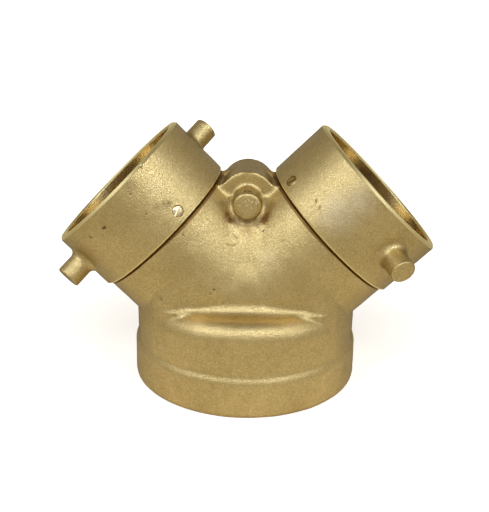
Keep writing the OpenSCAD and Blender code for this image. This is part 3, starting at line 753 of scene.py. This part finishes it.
def brass_finish(name, zones):
    """Bead-blasted brass: olive-yellow metal, mottled slowly, with pale and dark grains.

    It is painted darker where it is seen at a slant, a painted shade at its outline. Stains, painted
    highlights, painted shade, pits and rings lie where the lists above say.
    zones(nodes) gives three values: where the metal is bare and turned, which has no bump and is
    smoother; where it is a turned lip with a painted highlight, or None; and where painted shade lies, as
    along a seam.
    """
    n = Nodes(bpy.data.materials.new(name))
    blotches, fine = n.noise(BLOTCH, 3, 0.6), n.noise(GRAIN, 2, 0.6)
    tone = n.ramp(n.noise(MOTTLE, 4, 0.6), [(0.34, DEEP), (0.62, PALE)])
    tone = n.mix(0.35, tone, n.ramp(blotches, [(0.35, DEEP), (0.62, PALE)]))
    tone = n.mix(0.5, tone, n.ramp(n.noise(STIPPLE, 2, 0.6), [(0.36, DEEP), (0.64, PALE)]))
    tone = n.mix(n.level(fine, 0.62, 0.72, 0, 0.65), tone, SPECK)
    tone = n.mix(n.level(fine, 0.38, 0.28, 0, 0.55), tone, GRAIN_AND_SLANT_SHADE_BROWN)
    # Painted shade: darker, and at the outline darker still, where the surface is seen at a slant
    slant = n.add("LayerWeight")
    slant.inputs["Blend"].default_value = 0.5
    slant = slant.outputs["Facing"]
    tone = n.mix(n.level(slant, 0.45, 1.0, 0, 0.6), tone, GRAIN_AND_SLANT_SHADE_BROWN)
    tone = n.mix(n.level(slant, 0.82, 1.0, 0, 0.7), tone, PIT_AND_SLANT_SHADE_BROWN)
    # Stains, painted highlights and painted shade, each a colour over its places
    for colour, places in STAINS_AND_PAINTED_LIGHT:
        tone = n.mix(n.any_of([n.near(*place) for place in places]), tone, colour)
    pits = n.any_of([n.near(*place) for place in PITS] + [n.ring(*place) for place in RINGS])
    tone = n.mix(pits, tone, PIT_AND_SLANT_SHADE_BROWN)
    turned_part, lip, shaded = zones(n)
    tone = n.mix(turned_part, tone, MACHINED)
    rough = n.level(fine, 0.35, 0.68, 0.58, 0.32)
    rough = n.math("MULTIPLY", rough, n.level(turned_part, 0, 1, 1, 0.45))
    if lip is not None:
        # Painted highlight on the turned rims
        tone = n.mix(lip, tone, PAINTED_RIM_HIGHLIGHT)
        rough = n.math("ADD", rough, n.level(lip, 0, 1, 0, 0.22))
    # Painted shade along the seams, on the hub's foot and on the swivels' skirt rims
    tone = n.mix(n.level(shaded, 0, 1, 0, 0.9), tone, PAINTED_SHADE_BROWN)
    n.link(tone, n.shader.inputs["Base Color"])
    n.shader.inputs["Metallic"].default_value = 1.0
    n.link(n.math("ADD", rough, n.level(pits, 0, 1, 0, 0.2)), n.shader.inputs["Roughness"])
    cast = n.level(turned_part, 0, 1, 1, 0)
    normal = n.bump(n.math("MULTIPLY", fine, cast), *GRAIN_BUMP)
    normal = n.bump(n.math("MULTIPLY", blotches, cast), *BLOTCH_BUMP, normal)
    normal = n.bump(n.level(pits, 0, 1, 1, 0), *PIT_BUMP, normal)
    n.link(normal, n.shader.inputs["Normal"])
    return n.owner


def body_zones(n):
    """Zones of the casting: turned on the bottom face and in the outlet, no lip, and two painted shades.

    One painted shade runs along the seam, and is up to 1.1 mm wider towards the crotch. The other,
    at half strength, is painted shade on the foot of the hub, where its contact shadow falls.
    """
    around, height = n.polar()
    along, _ = n.branch_polar()
    outlet = n.math("MULTIPLY", n.below(around, 57.2, 0.3), n.below(height, 21.0, 0.5))
    # Painted shade along the seam, widening above 86 mm of height towards the crotch
    wider = n.above(height, 100, 14, 1.1 * MM)
    seam = n.above(n.math("ADD", along, wider), SEAM - 0.6, 0.4)
    # Painted shade on the foot of the hub, where its contact shadow falls; none on the bottom face
    foot = n.math("MULTIPLY", n.below(height, 0.6, 1.8, 0.5), n.above(height, 0.3, 0.1))
    return n.any_of([outlet, n.below(height, 0.1, 0.2)]), None, n.any_of([seam, foot])


def swivel_zones(n):
    """Zones of a swivel: turned in the bore and at both rims, which are its lips and carry a painted
    highlight, and a painted shade.

    The painted shade is the skirt's rim inside the radius of the casting's bevel.
    """
    along, around = n.branch_polar()
    skirt = SEAM + SEAM_GAP
    rim = n.below(along, skirt + 0.4, 0.3)
    # Both rims are turned and carry a painted highlight
    lip = n.any_of([n.above(along, skirt + SWIVEL_L - 1.2, 0.3), n.below(along, skirt + 0.8, 0.3)])
    # Painted shade on the skirt's rim, inside the casting's bevel
    shaded = n.math("MULTIPLY", rim, n.below(around, 45.8, 0.2))
    return n.any_of([n.below(around, 43.7, 0.3), rim, lip]), lip, shaded


def plain_finish(name, colour, metallic, roughness, grain_scale=900, grain=0.1):
    """A plain metal or rubber with a fine grain in its surface and a slow change of tone."""
    n = Nodes(bpy.data.materials.new(name))
    darker = tuple(0.75 * c for c in colour)
    n.link(n.ramp(n.noise(60), [(0.35, darker), (0.65, colour)]), n.shader.inputs["Base Color"])
    n.shader.inputs["Metallic"].default_value = metallic
    fine = n.noise(grain_scale, 2)
    n.link(n.level(fine, 0.3, 0.7, roughness + 0.08, roughness - 0.08), n.shader.inputs["Roughness"])
    n.link(n.bump(fine, grain, PLAIN_DEPTH), n.shader.inputs["Normal"])
    return n.owner


def dress(obj, material):
    """Gives an object one material."""
    obj.data.materials.clear()
    obj.data.materials.append(material)


# ---- studio --------------------------------------------------------------------------------------------

def make_camera():
    """A camera in front of the part and above it, looking down about 21 degrees."""
    distance, azimuth, height = 0.440, math.radians(0.57), 0.23578
    heading, pitch, roll = math.radians(0.57 + 0.17), math.radians(20.67), math.radians(-1.06)
    camera = bpy.data.objects.new("camera", bpy.data.cameras.new("camera"))
    bpy.context.scene.collection.objects.link(camera)
    camera.data.lens = 55.82
    camera.data.sensor_width = 36
    camera.data.sensor_fit = "AUTO"
    camera.data.clip_start = 0.01
    turn = (Matrix.Rotation(heading, 4, "Z") @ Matrix.Rotation(-pitch, 4, "X") @ Matrix.Rotation(roll, 4, "Y")
            @ Matrix.Rotation(math.radians(90), 4, "X"))
    place = Matrix.Translation((distance * math.sin(azimuth), -distance * math.cos(azimuth), height))
    camera.matrix_world = place @ turn
    bpy.context.scene.camera = camera


def area_light(name, place, size, power):
    """A soft lamp at a place, turned to the part's middle."""
    lamp = bpy.data.lights.new(name, "AREA")
    lamp.shape = "RECTANGLE"
    lamp.size, lamp.size_y = size
    lamp.energy = power
    lamp.color = COOL
    obj = bpy.data.objects.new(name, lamp)
    bpy.context.scene.collection.objects.link(obj)
    obj.rotation_euler = (Vector(LIT_POINT) - Vector(place)).to_track_quat("-Z", "Y").to_euler()
    obj.location = place


def make_world():
    """White behind the part. Other rays see a studio that is palest in front, a little above eye level."""
    world = bpy.data.worlds.new("studio")
    bpy.context.scene.world = world
    n = Nodes(world, "Generated")
    split = n.add("SeparateXYZ")
    n.link(n.coords, split.inputs[0])
    front, back = (n.ramp(split.outputs["Z"], sky) for sky in (SKY_IN_FRONT, SKY_BEHIND))
    studio = n.mix(n.level(split.outputs["Y"], 0.1, 0.8, 0, 1), front, back)
    to_the_eye = n.add("LightPath").outputs["Is Camera Ray"]
    background = n.tree.nodes["Background"]
    n.link(n.mix(to_the_eye, studio, WORLD_WHITE), background.inputs["Color"])
    background.inputs["Strength"].default_value = WORLD_STRENGTH


def make_floor():
    """A plain pale floor that shows white to the eye and keeps the soft shadow.

    It darkens away from the part, and to the eye alone its lift makes up for that.
    """
    w = FLOOR_HALF
    floor = make_mesh_object("floor", [(-w, -w, 0), (w, -w, 0), (w, w, 0), (-w, w, 0)], [(0, 1, 2, 3)])
    n = Nodes(bpy.data.materials.new("pale_floor"))
    away = n.length(n.coords)
    to_the_eye = n.add("LightPath").outputs["Is Camera Ray"]
    tone = n.ramp(n.level(away, *FLOOR_REACH, 0, 1), [(0, FLOOR_NEAR), (1, FLOOR_FAR)])
    n.link(n.mix(to_the_eye, tone, FLOOR_SEEN), n.shader.inputs["Base Color"])
    n.shader.inputs["Roughness"].default_value = 0.9
    n.shader.inputs["Specular IOR Level"].default_value = 0.0
    n.shader.inputs["Emission Color"].default_value = (1, 1, 1, 1)
    lift = n.math("MULTIPLY", n.level(away, *FLOOR_REACH, *FLOOR_LIFT), to_the_eye)
    n.link(lift, n.shader.inputs["Emission Strength"])
    dress(floor, n.owner)


make_camera()
make_world()
make_floor()
area_light("left_bank", (-0.95, -0.85, 1.15), (0.8, 0.8), 8.3)
area_light("right_bank", (0.95, -0.85, 1.15), (0.8, 0.8), 8.3)
area_light("front_bank", (0.0, -1.20, 1.30), (0.9, 0.4), 5.6)

cast_brass = brass_finish("cast_brass", body_zones)
swivel_brass = brass_finish("swivel_brass", swivel_zones)
turned_brass = plain_finish("turned_brass", (0.95, 0.82, 0.50), 1.0, 0.38, 500, 0.6)
sunken_brass = plain_finish("sunken_brass", (0.66, 0.50, 0.22), 1.0, 0.36, 420, 1.0)
steel = plain_finish("stainless_steel", (0.55, 0.55, 0.54), 1.0, 0.32)
rubber = plain_finish("black_rubber", (0.03, 0.03, 0.03), 0.0, 0.6)

dress(make_casting(), cast_brass)
for side in (LEFT, RIGHT):
    dress(make_swivel(side), swivel_brass)
    dress(make_ball_plug(side), turned_brass if side == LEFT else sunken_brass)

FINISHES = {
    "hinge_pin": steel, "hinge_plug": cast_brass, "hinge_plug_seal": rubber,
    "left_balls": steel, "right_balls": steel, "left_gasket": rubber, "right_gasket": rubber,
    "clapper": cast_brass, "left_facing": rubber, "right_facing": rubber,
    "left_retainer": cast_brass, "right_retainer": cast_brass,
    "clapper_bolt": steel, "lock_washer": steel, "clapper_nut": steel}
for node, material in FINISHES.items():
    dress(frame["nodes"][node], material)

bpy.context.scene.view_settings.view_transform = "Standard"
